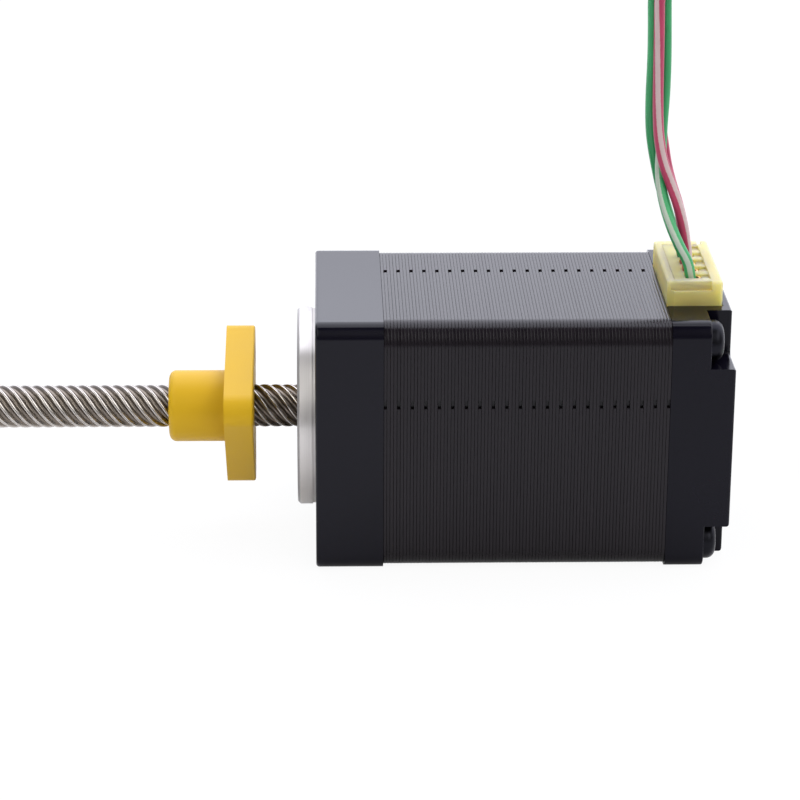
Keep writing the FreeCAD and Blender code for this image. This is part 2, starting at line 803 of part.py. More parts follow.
def rims(ring):
    """The circular edges of an upright ring."""
    return [e for e in ring.Edges if e.BoundBox.ZLength < 1e-6]


def coil_tie():
    """Flat strap round the section of the coil, on its far side."""
    half = tie_width / 2
    inner_edge = math.sqrt((coil_turn_r - coil_half) ** 2 - half ** 2)
    y0 = coil_centre[1] + inner_edge - side_clearance
    y1 = coil_centre[1] + coil_turn_r + coil_half + side_clearance
    x0 = coil_centre[0] - half
    x1 = coil_centre[0] + half
    z0 = coil_low - seat_gap
    z1 = coil_low + wire_coil_height + side_clearance
    t = tie_thickness
    strap = block(x0, x1, y0 - t, y1 + t, z0 - t, z1 + t)
    return strap.cut(block(x0, x1, y0, y1, z0, z1))


def main():
    os.makedirs("parts", exist_ok=True)
    save("front_end_cap", front_end_cap())
    save("rear_end_cap", rear_end_cap())
    save("stator_core", stator_core())
    save("front_insulator", slot_insulator())
    save("rear_insulator", rear_insulator())
    save("phase_a_coils", phase_coils(0))
    save("phase_b_coils", phase_coils(1))
    for name, piece in rotor_pieces().items():
        save(name, piece)
    save("lead_screw", lead_screw())
    save("front_shaft_sleeve", shaft_sleeve(front_bearing_x + bearing_width, rotor_front))
    save("rear_shaft_sleeve", shaft_sleeve(rotor_rear, rear_bearing_x))
    for name, x in (("front", front_bearing_x), ("rear", rear_bearing_x)):
        outer, inner = bearing_rings(x)
        save(name + "_bearing_outer_ring", outer)
        save(name + "_bearing_inner_ring", inner)
        save(name + "_bearing_shields", bearing_shields(x))
        save(name + "_bearing_balls", bearing_balls(x))
        save(name + "_bearing_cage", bearing_cage(x))
    save("wave_washer", wave_washer())
    save("terminal_board", terminal_board())
    save("header_housing", header_housing())
    save("header_pins", header_pins())
    save("plug_housing", plug_housing())
    save("crimp_contacts", crimp_contacts())
    save("case_screws", case_screws())
    save("lead_nut", lead_nut())
    for index, name in enumerate(wire_names):
        save(name, cord(wire_route(index), wire_d))
    save("wire_coil", wire_coil())
    save("coil_tie", coil_tie())


main()
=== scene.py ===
# %% [markdown]
# # A linear stepper motor
# The motor is a square block: two black end caps clamp a stack of thin steel sheets. A steel
# screw with eight thread starts comes out of the front, a yellow plastic nut runs on it, and
# four thin wires leave a small nylon connector on top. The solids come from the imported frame.
# Blender adds what solids leave out: the edges of the sheets, the thread, the wires, the
# finish of each surface, and the light.

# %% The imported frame
import math

import bmesh
import bpy
import numpy as np
from mathutils import Matrix, Vector
from mathutils.geometry import tessellate_polygon


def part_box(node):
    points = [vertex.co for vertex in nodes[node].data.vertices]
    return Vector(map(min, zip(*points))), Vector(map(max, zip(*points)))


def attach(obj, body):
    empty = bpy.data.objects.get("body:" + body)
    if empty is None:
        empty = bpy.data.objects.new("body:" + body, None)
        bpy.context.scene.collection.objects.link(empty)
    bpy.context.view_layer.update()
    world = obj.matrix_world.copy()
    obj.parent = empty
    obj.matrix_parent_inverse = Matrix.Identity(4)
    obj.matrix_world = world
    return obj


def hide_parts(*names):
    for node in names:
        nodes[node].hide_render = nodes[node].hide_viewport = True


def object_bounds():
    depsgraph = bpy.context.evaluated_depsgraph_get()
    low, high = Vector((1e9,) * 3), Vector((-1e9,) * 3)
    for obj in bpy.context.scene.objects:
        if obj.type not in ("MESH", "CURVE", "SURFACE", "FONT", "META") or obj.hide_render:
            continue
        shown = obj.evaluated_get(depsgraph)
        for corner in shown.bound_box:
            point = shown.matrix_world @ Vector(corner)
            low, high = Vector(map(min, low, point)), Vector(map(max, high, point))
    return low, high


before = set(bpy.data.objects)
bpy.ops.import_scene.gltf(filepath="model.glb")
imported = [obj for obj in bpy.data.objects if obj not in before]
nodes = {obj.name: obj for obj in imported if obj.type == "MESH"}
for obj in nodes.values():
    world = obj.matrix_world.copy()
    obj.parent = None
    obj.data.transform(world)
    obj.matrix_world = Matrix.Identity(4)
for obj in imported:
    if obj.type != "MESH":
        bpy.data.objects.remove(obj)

MM = 0.001
cad_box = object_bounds()

# %% [markdown]
# ## The camera
# A long lens stands about a third of a metre away and looks down on the motor by some twenty
# degrees. Its place and angles were solved from the straight edges of the caps, so the camera
# is written as a rotation made of three directions: right, up and backwards.

# %% Camera
IMAGE_SIDE = 800
FOCAL_PIXELS = 2976.65
SENSOR_WIDTH = 36.0
CLIP_START = 0.01
CAMERA_PLACE = Vector((0.8347, -312.285, 116.366)) * MM
CAMERA_PITCH = math.radians(20.339)
CAMERA_YAW = math.radians(1.5763)
CAMERA_ROLL = math.radians(0.29825)


def camera_axes(pitch, yaw, roll):
    """Right, up and forward: forward from pitch and yaw, the other two turned about it by roll."""
    flat = math.cos(pitch)
    forward = Vector((math.sin(yaw) * flat, math.cos(yaw) * flat, -math.sin(pitch)))
    level = Vector((math.cos(yaw), -math.sin(yaw), 0.0))
    upright = level.cross(forward)
    right = math.cos(roll) * level + math.sin(roll) * upright
    up = math.cos(roll) * upright - math.sin(roll) * level
    return right, up, forward


camera_data = bpy.data.cameras.new("photo_camera")
camera_data.sensor_width = SENSOR_WIDTH
camera_data.lens = FOCAL_PIXELS * SENSOR_WIDTH / IMAGE_SIDE
camera_data.clip_start = CLIP_START
camera = bpy.data.objects.new("photo_camera", camera_data)
bpy.context.scene.collection.objects.link(camera)
right, up, forward = camera_axes(CAMERA_PITCH, CAMERA_YAW, CAMERA_ROLL)
turn = Matrix((right, up, -forward)).transposed()
camera.matrix_world = Matrix.Translation(CAMERA_PLACE) @ turn.to_4x4()
bpy.context.scene.camera = camera
print("camera: lens", round(camera_data.lens, 1), "mm")

# %% [markdown]
# ## Helpers for surfaces and pieces
# Every new piece here is a grid: rows along the piece, columns across it. One helper lists the
# quads of such a grid, and one turns points and faces into an object that rides on a body.

# %% Grid and piece helpers


def grid_quads(rows, columns, wrap=True):
    """Quads of a grid counted row by row; with wrap, the last column joins the first again."""
    row = np.arange(rows - 1)[:, None]
    column = np.arange(columns if wrap else columns - 1)[None, :]
    following = (column + 1) % columns
    corners = (row * columns + column, row * columns + following,
               (row + 1) * columns + following, (row + 1) * columns + column)
    shape = (len(row), column.shape[1])
    return np.stack([np.broadcast_to(c, shape) for c in corners], -1).reshape(-1, 4)


def make_piece(name, points, faces, body, slot, material, sharp_degrees=35.0):
    """Object at the origin with its place in its mesh, smooth except across edges sharper than an angle."""
    mesh = bpy.data.meshes.new(name)
    mesh.from_pydata(np.asarray(points).tolist(), [], [list(f) for f in faces])
    mesh.validate()
    mesh.shade_smooth()
    mesh.set_sharp_from_angle(angle=math.radians(sharp_degrees))
    mesh.materials.append(material)
    piece = bpy.data.objects.new(name, mesh)
    bpy.context.scene.collection.objects.link(piece)
    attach(piece, body)
    print(name, len(mesh.polygons), "faces")
    return piece


# %% [markdown]
# ## Helpers for materials
# A material here is a Principled shader fed by a few noise or line patterns on Object
# coordinates, which are metres in the motor's own frame. A pattern that several finishes share
# is a node group: grain gives a fine height and mask, and turned lines run round the screw axis.

# %% Material helpers


def add(tree, kind, inputs=None, **settings):
    """New node with its settings and its inputs: a socket is linked, anything else is set."""
    made = tree.nodes.new(kind)
    for key, value in settings.items():
        setattr(made, key, value)
    for key, value in (inputs or {}).items():
        if isinstance(value, bpy.types.NodeSocket):
            tree.links.new(value, made.inputs[key])
        else:
            made.inputs[key].default_value = value
    return made


def math_node(tree, operation, first, second=0.0):
    """One arithmetic step."""
    return add(tree, "ShaderNodeMath", {0: first, 1: second}, operation=operation).outputs[0]


def mix_colour(tree, factor, first, second):
    """Blend of two colours by a factor."""
    made = add(tree, "ShaderNodeMix", {0: factor, 6: first, 7: second}, data_type="RGBA")
    return made.outputs[2]


def mix_value(tree, factor, first, second):
    """Blend of two numbers by a factor."""
    return add(tree, "ShaderNodeMix", {0: factor, 2: first, 3: second}, data_type="FLOAT").outputs[0]


def spread(tree, value, low, high):
    """A value from 0 to 1 stretched to lie between two numbers."""
    return add(tree, "ShaderNodeMapRange", {0: value, 3: low, 4: high}).outputs[0]


def step_mask(tree, value, low, high):
    """0 below the low number, 1 above the high one, and a smooth ramp between them."""
    made = add(tree, "ShaderNodeMapRange", {0: value, 1: low, 2: high}, interpolation_type="SMOOTHSTEP")
    return made.outputs[0]


def object_place(tree):
    """Object coordinates and their X, Y and Z."""
    place = add(tree, "ShaderNodeTexCoord").outputs["Object"]
    parts = add(tree, "ShaderNodeSeparateXYZ", {0: place})
    return place, parts.outputs[0], parts.outputs[1], parts.outputs[2]


def axis_distance(tree, y, z):
    """Distance from the screw axis: the root of y squared + z squared."""
    squares = math_node(tree, "MULTIPLY", y, y), math_node(tree, "MULTIPLY", z, z)
    return math_node(tree, "SQRT", math_node(tree, "ADD", *squares))


def new_group(name, inputs, outputs):
    """Empty shader group with named sockets: inputs as (name, start value), outputs as names."""
    group = bpy.data.node_groups.new(name, "ShaderNodeTree")
    for label, start in inputs:
        socket = group.interface.new_socket(label, in_out="INPUT", socket_type="NodeSocketFloat")
        socket.default_value = start
    for label in outputs:
        group.interface.new_socket(label, in_out="OUTPUT", socket_type="NodeSocketFloat")
    return group, group.nodes.new("NodeGroupInput").outputs, group.nodes.new("NodeGroupOutput").inputs


def grain_group():
    """Two sizes of noise: a fine height for bump, and a broad mask for uneven colour and gloss."""
    group, given, result = new_group("grain", [("Fine", 4000.0), ("Broad", 120.0)], ["Height", "Mask"])
    place = object_place(group)[0]
    fine = add(group, "ShaderNodeTexNoise", {"Vector": place, "Scale": given["Fine"], "Detail": 2.0})
    broad = add(group, "ShaderNodeTexNoise", {"Vector": place, "Scale": given["Broad"], "Detail": 4.0})
    group.links.new(fine.outputs[0], result["Height"])
    group.links.new(broad.outputs[0], result["Mask"])
    return group


def turned_group():
    """Tool marks of a lathe: noise that changes only with the distance from the axis and along it."""
    group, given, result = new_group("turned_lines", [("Lines", 9000.0)], ["Height"])
    _, x, y, z = object_place(group)
    flat = add(group, "ShaderNodeCombineXYZ", {0: x, 1: axis_distance(group, y, z)}).outputs[0]
    lines = add(group, "ShaderNodeTexNoise", {"Vector": flat, "Scale": given["Lines"], "Detail": 1.0})
    group.links.new(lines.outputs[0], result["Height"])
    return group


GRAIN = grain_group()
TURNED = turned_group()


def new_material(name):
    """Material with its node tree and its Principled shader."""
    material = bpy.data.materials.new(name)
    material.use_nodes = True
    tree = material.node_tree
    shader = tree.nodes["Principled BSDF"]
    return material, tree, shader


def use_group(tree, group, **values):
    """A shared group placed in a material with its own values."""
    made = tree.nodes.new("ShaderNodeGroup")
    made.node_tree = group
    for key, value in values.items():
        made.inputs[key].default_value = value
    return made.outputs


def feed(tree, shader, **values):
    """Set or link the shader's inputs; a name's underscore stands for a space."""
    for key, value in values.items():
        socket = shader.inputs[key.replace("_", " ")]
        if isinstance(value, bpy.types.NodeSocket):
            tree.links.new(value, socket)
        else:
            socket.default_value = value


def bump(tree, shader, height, strength, distance):
    """Small relief on the shader's normal."""
    made = add(tree, "ShaderNodeBump", {"Height": height, "Strength": strength, "Distance": distance})
    tree.links.new(made.outputs[0], shader.inputs["Normal"])


def shade(colour, factor):
    """A colour made lighter or darker, with its alpha."""
    return tuple(min(1.0, c * factor) for c in colour[:3]) + (1.0,)


def plastic(name, colour, roughness, fine=5000.0, relief=0.00001, uneven=0.12):
    """Moulded plastic: a fine grain, and broad patches slightly lighter and duller."""
    material, tree, shader = new_material(name)
    grain = use_group(tree, GRAIN, Fine=fine, Broad=180.0)
    tint = mix_colour(tree, grain["Mask"], shade(colour, 1 - uneven), shade(colour, 1 + uneven))
    feed(tree, shader, Base_Color=tint, Roughness=spread(tree, grain["Mask"], roughness - 0.06, roughness + 0.06))
    bump(tree, shader, grain["Height"], 0.25, relief)
    return material, tree, shader


def metal(name, colour, roughness, lines=7000.0, relief=0.000004):
    """Turned or rolled metal: tool marks round the axis, and patches of duller surface."""
    material, tree, shader = new_material(name)
    grain = use_group(tree, GRAIN, Fine=6000.0, Broad=260.0)
    marks = use_group(tree, TURNED, Lines=lines)
    tint = mix_colour(tree, grain["Mask"], shade(colour, 0.88), shade(colour, 1.1))
    dull = math_node(tree, "ADD", spread(tree, grain["Mask"], roughness - 0.05, roughness + 0.05),
                     spread(tree, marks["Height"], -0.06, 0.06))
    feed(tree, shader, Base_Color=tint, Metallic=1.0, Roughness=dull)
    bump(tree, shader, marks["Height"], 0.3, relief)
    return material, tree, shader


# %% [markdown]
# ## The lead wires
# Four thin wires stand in the plug, draw together into a bundle, arch over behind the view and
# end in a small tied coil. A wire is first one smooth spline: its route is a list of stations,
# then turns of a helix worked out by a formula. The tube is a ring of points carried along
# points read from that spline, so that a stripe can follow the wire on its own UV map.

# %% Route of the wires
WIRE_D = 1.18 * MM
WIRE_LENGTH = 300.0 * MM
WIRE_SPACING = 1.3 * MM
CIRCUIT_PITCH = 2.5 * MM
CIRCUIT_COUNT = 5
WIRE_START_Z = 15.105 * MM
WIRE_LEAN = 0.34 * MM
COIL_TURN_R = 10.0 * MM
COIL_STEP = 1.22 * MM
POINTS_PER_TURN = 14
COIL_TOP_GAP = 0.55 * WIRE_D
# Stations in mm. Each wire has its own from the plug up to the bundle: x from the middle of the plug,
# y, and z from the top of the header.
OWN_ROUTES = {
    "wire_green_striped": [
        (-0.62, -5.20, 1.51), (-1.54, -4.70, 3.06), (-2.48, -3.40, 5.16), (-3.06, -2.00, 7.01),
        (-3.39, -0.70, 8.89), (-3.42, 0.30, 10.86), (-3.27, 0.75, 13.00), (-3.25, 1.00, 15.18),
        (-3.05, 1.25, 18.47), (-3.02, 1.40, 22.32), (-3.14, 1.50, 26.15), (-3.30, 1.60, 30.60),
    ],
    "wire_red_striped": [
        (-0.45, -2.70, 1.29), (-0.63, -2.50, 2.83), (-0.98, -2.30, 4.82), (-1.52, -1.90, 6.97),
        (-2.31, -1.40, 9.09), (-3.14, -0.95, 11.22), (-3.61, -0.55, 13.36), (-3.84, -0.25, 15.51),
        (-3.96, -0.10, 18.82), (-3.99, 0.00, 22.66), (-4.04, 0.15, 26.46), (-4.16, 0.30, 30.90),
    ],
    "wire_red": [
        (-0.38, -0.20, 1.30), (-0.61, -0.30, 2.72), (-0.84, -0.40, 4.24), (-1.25, 0.00, 6.40),
        (-1.96, 1.00, 8.39), (-2.46, 2.20, 10.32), (-2.79, 2.50, 12.28), (-3.20, 2.60, 14.75),
        (-3.42, 2.70, 18.09), (-3.57, 2.70, 22.00), (-3.68, 2.70, 25.87), (-3.80, 2.80, 30.30),
    ],
    "wire_green": [
        (-0.66, 2.30, 1.21), (-1.05, 2.40, 2.11), (-1.61, 2.45, 3.37), (-2.38, 2.30, 5.72),
        (-3.12, 2.05, 8.09), (-3.68, 1.75, 10.45), (-4.18, 1.60, 12.76), (-4.51, 1.30, 15.10),
        (-4.62, 1.10, 18.51), (-4.53, 1.10, 22.39), (-4.59, 1.20, 26.22), (-4.76, 1.35, 30.65),
    ],
}
# The bundle arches over, with x and z from the plug, and falls to the coil, with x and z from the coil.
ARCH_ROUTE = MM * np.array([
    (-2.2, 1.6, 37.6), (3.2, 1.8, 42.6), (10.7, 2.1, 42.7), (16.9, 2.5, 38.0),
    (20.5, 2.8, 29.7), (22.5, 3.1, 18.9), (23.3, 3.3, 7.1)])
FALL_ROUTE = MM * np.array([(-6.9, 3.4, 25.2), (-6.3, 3.6, 14.2), (-4.3, 3.9, 7.8), (-1.2, 4.0, 4.8)])
# Corner of the bundle in degrees, from the side away from the rear cap, and lane in the coil.
WIRES = {
    "wire_green_striped": (165.0, 0.5),
    "wire_red_striped": (255.0, 1.5),
    "wire_red": (75.0, -0.5),
    "wire_green": (345.0, -1.5),
}
header_low, header_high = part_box("header_housing")
plug_low, plug_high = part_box("plug_housing")
coil_low, coil_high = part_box("wire_coil")
plug_x = (header_low.x + header_high.x) / 2
plug_y = (plug_low.y + plug_high.y) / 2
coil_centre = (coil_low + coil_high) / 2


def bundle_stations():
    """Stations of the whole bundle in the motor's frame."""
    arch = ARCH_ROUTE + np.array([plug_x, 0.0, header_high.z])
    fall = FALL_ROUTE + np.array([coil_centre.x, 0.0, coil_low.z])
    return np.concatenate([arch, fall])


def wire_route(index, name, corner):
    """Out of the crimp, along its own stations, and into a corner of the bundle: place + two offsets across it."""
    y = plug_y + (index - (CIRCUIT_COUNT - 1) / 2) * CIRCUIT_PITCH
    start = np.array([[plug_x, y, WIRE_START_Z], [plug_x - WIRE_LEAN, y, plug_high.z]])
    own = MM * np.array(OWN_ROUTES[name]) + np.array([plug_x, 0.0, header_high.z])
    stations = bundle_stations()
    ahead = np.concatenate([stations[1:], stations[-1:]]) - np.concatenate([stations[:1], stations[:-1]])
    across = np.array([0.0, 1.0, 0.0])
    beside = np.cross(ahead, across)
    beside /= np.linalg.norm(beside, axis=1, keepdims=True)
    angle = math.radians(corner)
    reach = WIRE_SPACING / math.sqrt(2)
    bundle = stations + reach * (beside * math.cos(angle) + across * math.sin(angle))
    return np.concatenate([start, own, bundle])


def coil_turns(radius, length):
    """Helix about an upright axis: the angle grows with the length over the radius, and the height falls."""
    turns = length / (2 * math.pi * radius)
    t = np.arange(1, int(turns * POINTS_PER_TURN) + 1) / POINTS_PER_TURN
    angle = 2 * math.pi * t - math.pi / 2
    top = coil_high.z - COIL_TOP_GAP
    return np.stack([coil_centre.x + radius * np.cos(angle), coil_centre.y + radius * np.sin(angle),
                     top - COIL_STEP * t], -1)


def spline_points(name, route):
    """Points along a smooth spline that has the route as its control points."""
    curve = bpy.data.curves.new(name, "CURVE")
    curve.dimensions = "3D"
    curve.resolution_u = 8
    spline = curve.splines.new("NURBS")
    spline.points.add(len(route) - 1)
    spline.points.foreach_set("co", np.c_[route, np.ones(len(route))].ravel())
    spline.order_u = 3
    spline.use_endpoint_u = True
    holder = bpy.data.objects.new(name, curve)
    line = bpy.data.meshes.new_from_object(holder)
    points = np.zeros(len(line.vertices) * 3)
    line.vertices.foreach_get("co", points)
    bpy.data.objects.remove(holder)
    bpy.data.curves.remove(curve)
    bpy.data.meshes.remove(line)
    return points.reshape(-1, 3)


def path_length(points):
    """Sum of the distances from point to point."""
    return float(np.linalg.norm(np.diff(points, axis=0), axis=1).sum())


# %% [markdown]
# Each tube is a ring of points carried along its wire and closed by a smaller ring at each end.
# The striped wires have a printed line that winds slowly round them, so it is worked out from the
# UV map: once round for u, and metres along the wire for v.

# %% Tubes of the wires
RING = 14
END_ROUND = 0.6
TUBE_SHARP_DEGREES = 60.0


def carried_frames(points):
    """Side and top at each point, the side turned as little as possible from point to point."""
    tangent = np.gradient(points, axis=0)
    tangent /= np.linalg.norm(tangent, axis=1, keepdims=True)
    side = np.zeros_like(points)
    here = np.cross(tangent[0], (0.0, 1.0, 0.0))
    for k, t in enumerate(tangent):
        here = here - t * np.dot(here, t)
        here /= np.linalg.norm(here)
        side[k] = here
    return side, np.cross(tangent, side)


def tube_surface(points, radius):
    """Ring of points carried along a line: line + radius (side cos a + top sin a)."""
    side, top = carried_frames(points)
    a = 2 * math.pi * np.arange(RING) / RING
    ring = side[:, None] * np.cos(a)[None, :, None] + top[:, None] * np.sin(a)[None, :, None]
    return points[:, None] + radius * ring


def tube_piece(name, points, material, slot):
    """Closed tube with rounded ends and a UV map: u once round, v in metres along the wire."""
    radius = WIRE_D / 2
    rings = tube_surface(points, radius)
    near = points[:1, None] + END_ROUND * (rings[:1] - points[:1, None])
    far = points[-1:, None] + END_ROUND * (rings[-1:] - points[-1:, None])
    rings = np.concatenate([near, rings, far])
    rows = len(rings)
    quads = grid_quads(rows, RING)
    faces = quads.tolist() + [list(range(RING))[::-1], list(range((rows - 1) * RING, rows * RING))]
    piece = make_piece(name, rings.reshape(-1, 3), faces, "stator", slot, material, TUBE_SHARP_DEGREES)
    along = np.concatenate([[0.0], np.cumsum(np.linalg.norm(np.diff(points, axis=0), axis=1))])
    along = np.concatenate([along[:1], along, along[-1:]])
    uv = np.zeros((len(piece.data.loops), 2))
    column = np.tile(np.arange(RING), rows - 1)
    row = np.repeat(np.arange(rows - 1), RING)
    u = np.stack([column, column + 1, column + 1, column], -1) / RING
    v = along[np.stack([row, row, row + 1, row + 1], -1)]
    uv[:4 * len(quads), 0] = u.ravel()
    uv[:4 * len(quads), 1] = v.ravel()
    layer = piece.data.uv_layers.new(name="along")
    layer.data.foreach_set("uv", uv.ravel())
    return piece


GREEN = (0.022, 0.270, 0.085, 1.0)
RED = (0.360, 0.026, 0.078, 1.0)
STRIPE_WHITE = (0.52, 0.50, 0.46, 1.0)
STRIPE_COVER = 0.68
STRIPE_HALF = 0.08
STRIPE_RAGGED = 0.015
STRIPE_TURN = 9.7


def insulation(name, colour, stripe_middle):
    """Soft extruded insulation, with one printed stripe along it where a middle is given."""
    material, tree, shader = new_material(name)
    grain = use_group(tree, GRAIN, Fine=7000.0, Broad=500.0)
    tint = mix_colour(tree, grain["Mask"], shade(colour, 0.85), shade(colour, 1.15))
    if stripe_middle is not None:
        uv = add(tree, "ShaderNodeSeparateXYZ", {0: add(tree, "ShaderNodeUVMap").outputs[0]}).outputs
        turned = math_node(tree, "ADD", uv[0], math_node(tree, "MULTIPLY", uv[1], STRIPE_TURN))
        offset = math_node(tree, "FRACT", math_node(tree, "SUBTRACT", turned, stripe_middle - 0.5))
        offset = math_node(tree, "ABSOLUTE", math_node(tree, "SUBTRACT", offset, 0.5))
        ragged = math_node(tree, "ADD", offset, spread(tree, grain["Height"], -STRIPE_RAGGED, STRIPE_RAGGED))
        mask = step_mask(tree, ragged, STRIPE_HALF + STRIPE_RAGGED, STRIPE_HALF - STRIPE_RAGGED)
        print_cover = math_node(tree, "MULTIPLY", mask, STRIPE_COVER)
        tint = mix_colour(tree, print_cover, tint, STRIPE_WHITE)
    feed(tree, shader, Base_Color=tint, Roughness=spread(tree, grain["Mask"], 0.34, 0.5))
    bump(tree, shader, grain["Height"], 0.2, 0.00001)
    return material


WIRE_FINISH = {
    "wire_green_striped": ("green_striped_insulation", GREEN, 0.28),
    "wire_red": ("red_insulation", RED, None),
    "wire_red_striped": ("red_striped_insulation", RED, 0.44),
    "wire_green": ("green_insulation", GREEN, None),
}
for index, (name, (corner, lane)) in enumerate(WIRES.items()):
    slot, colour, stripe_middle = WIRE_FINISH[name]
    lead = wire_route(index, name, corner)
    lane_radius = COIL_TURN_R + lane * WIRE_SPACING
    lead_length = path_length(spline_points(name, lead))
    line = spline_points(name, np.concatenate([lead, coil_turns(lane_radius, WIRE_LENGTH - lead_length)]))
    piece = tube_piece(name + "_lead", line, insulation(slot, colour, stripe_middle), slot)
    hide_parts(name, "wire_coil")
    print(name, "measures", round(path_length(line) / MM, 1), "mm")

# %% [markdown]
# ## The lamination stack
# The stator is eighty-five sheets, each a third of a millimetre thick. Each sheet has one small
# notch, and every next sheet is turned a quarter, so each side shows a row of marks four sheets
# apart. A bump map would show lines, but the notches have real depth, so the outside is a grid:
# the outline of a rounded square, carried along the axis, that dips between the sheets. Punching
# rolls one edge of a sheet over a little, and that edge catches the light along the corners.

# %% Lamination stack
SHEET_COUNT = 85
SEAM_DEPTH = 0.052 * MM
SEAM_HALF = 0.045 * MM
ROLL_WIDTH = 0.05 * MM
ROLL_DROP = 0.012 * MM
SHEET_WANDER = 0.006 * MM
WANDER_LIMIT = 0.5 * ROLL_DROP
WANDER_SEED = 5
STACK_CORNER_R = 2.4 * MM
NOTCH_PLACE = 5.15 * MM
NOTCH_HALF = 0.45 * MM
NOTCH_DEPTH = 0.5 * MM
NOTCH_WALL = 0.02 * MM
CORNER_STEPS = 8
CORNER_KEEP = 0.2 * MM
stack_low, stack_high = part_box("stator_core")
stack_half = stack_high.y
sheet = (stack_high.x - stack_low.x) / SHEET_COUNT


def side_stations():
    """Places along one side of the square, closer together at the walls of the notch and before the corners."""
    reach = stack_half - STACK_CORNER_R
    walls = np.array([-NOTCH_HALF - NOTCH_WALL, -NOTCH_HALF, NOTCH_HALF, NOTCH_HALF + NOTCH_WALL])
    keep = reach - CORNER_KEEP
    return np.concatenate([[-reach, -keep, -reach / 2, 0.0], NOTCH_PLACE + walls, [0.7 * reach, keep, reach]])


def stack_outline():
    """One quarter is a side and a rounded corner; the others are that quarter turned by 90 degrees.
    Gives the points, their outward directions and, for each, the side whose notch holds it."""
    places = side_stations()
    reach = stack_half - STACK_CORNER_R
    a = math.pi / 2 * np.arange(1, CORNER_STEPS) / CORNER_STEPS
    # The side that faces -Y, run from low to high z, then the corner towards +Z.
    side = np.stack([np.full_like(places, -stack_half), places], -1)
    side_out = np.tile([-1.0, 0.0], (len(places), 1))
    corner_out = np.stack([-np.cos(a), np.sin(a)], -1)
    corner = np.array([-reach, reach]) + STACK_CORNER_R * corner_out
    in_notch = np.abs(places - NOTCH_PLACE) <= NOTCH_HALF + NOTCH_WALL / 4
    quarter = np.concatenate([side, corner])
    out = np.concatenate([side_out, corner_out])
    held = np.concatenate([in_notch, np.zeros(len(corner), bool)])
    quarters = -math.pi / 2 * np.arange(4)
    turns = [np.array([[math.cos(q), math.sin(q)], [-math.sin(q), math.cos(q)]]) for q in quarters]
    points = np.concatenate([quarter @ t for t in turns])
    outs = np.concatenate([out @ t for t in turns])
    owner = np.concatenate([np.where(held, k, -1) for k in range(4)])
    return points, outs, owner


def stack_skin():
    """Outline x axis grid: each sheet has a seam, a punched edge that rolls over, and a sharp edge.
    Depth = the sheet's own small offset, plus the drop at the rolled edge; the seam is deepest."""
    points, outs, owner = stack_outline()
    number = np.repeat(np.arange(SHEET_COUNT), 4)
    kind = np.tile(np.arange(4), SHEET_COUNT)
    places = np.array([0.0, SEAM_HALF, SEAM_HALF + ROLL_WIDTH, sheet - SEAM_HALF])
    x = stack_low.x + sheet * number + places[kind]
    wander = np.random.default_rng(WANDER_SEED).normal(0.0, SHEET_WANDER, SHEET_COUNT)[number]
    depth = np.where(kind == 0, SEAM_DEPTH, np.clip(-wander, 0, WANDER_LIMIT) + ROLL_DROP * (kind == 1))
    depth = np.broadcast_to(depth[:, None], (len(x), len(points))).copy()
    notched = (kind[:, None] > 0) & (owner[None, :] == (number % 4)[:, None])
    depth[notched] = NOTCH_DEPTH
    x = np.append(x, stack_high.x)
    depth = np.concatenate([depth, np.full((1, len(points)), SEAM_DEPTH)])
    across = points[None] - outs[None] * depth[..., None]
    return np.concatenate([np.broadcast_to(x[:, None, None], across.shape[:2] + (1,)), across], -1)


skin = stack_skin()
print("stack skin grid", skin.shape)

# %% [markdown]
# Inside the stack, eight poles with five teeth each face the rotor, and four holes take the case
# screws. They keep one section all the way, so each is a closed outline at the front and the same
# one at the rear, joined by quads. The two end faces fill the space between the outlines.

# %% Poles, screw holes and end faces of the stack
POLE_COUNT = 8
TEETH_PER_POLE = 5
TOOTH_COUNT = 50
TOOTH_PITCH = 2 * math.pi / TOOTH_COUNT
TOOTH_SHARE = 0.42
TOOTH_ROOT_R = 7.95 * MM
TOOTH_TIP_R = 7.5 * MM
SHOE_R = 8.75 * MM
SLOT_R = 11.5 * MM
POLE_HALF = 1.1 * MM
HOLE_OFFSET = 11.5 * MM
HOLE_R = 1.2 * MM
HOLE_POINTS = 20
SLOT_POINTS = 6


def pole_outline():
    """One pole as angles and radii: up the neck, round its teeth, down the neck, along the slot; then turned."""
    half_tooth = TOOTH_SHARE * TOOTH_PITCH / 2
    centres = (np.arange(TEETH_PER_POLE) - (TEETH_PER_POLE - 1) / 2) * TOOTH_PITCH
    tooth_a = (centres[:, None] + half_tooth * np.array([-1, -1, 1, 1])).ravel()
    tooth_r = np.tile([TOOTH_ROOT_R, TOOTH_TIP_R, TOOTH_TIP_R, TOOTH_ROOT_R], TEETH_PER_POLE)
    top = math.asin(POLE_HALF / SLOT_R)
    foot = math.atan2(POLE_HALF, SHOE_R)
    foot_r = math.hypot(POLE_HALF, SHOE_R)
    back = np.linspace(top, 2 * math.pi / POLE_COUNT - top, SLOT_POINTS)[1:-1]
    a = np.concatenate([[-top, -foot], tooth_a, [foot, top], back])
    r = np.concatenate([[SLOT_R, foot_r], tooth_r, [foot_r, SLOT_R], np.full(len(back), SLOT_R)])
    step = 2 * math.pi / POLE_COUNT * np.arange(POLE_COUNT)[:, None]
    a = (a + step).ravel()
    r = np.tile(r, POLE_COUNT)
    return np.stack([r * np.cos(a), r * np.sin(a)], -1)


def hole_outline(y, z):
    """Circle round a case screw."""
    a = 2 * math.pi * np.arange(HOLE_POINTS) / HOLE_POINTS
    return np.stack([y + HOLE_R * np.cos(a), z + HOLE_R * np.sin(a)], -1)


def at_x(outline, x):
    """An outline across the axis, set at a place along it."""
    return np.c_[np.full(len(outline), x), outline]


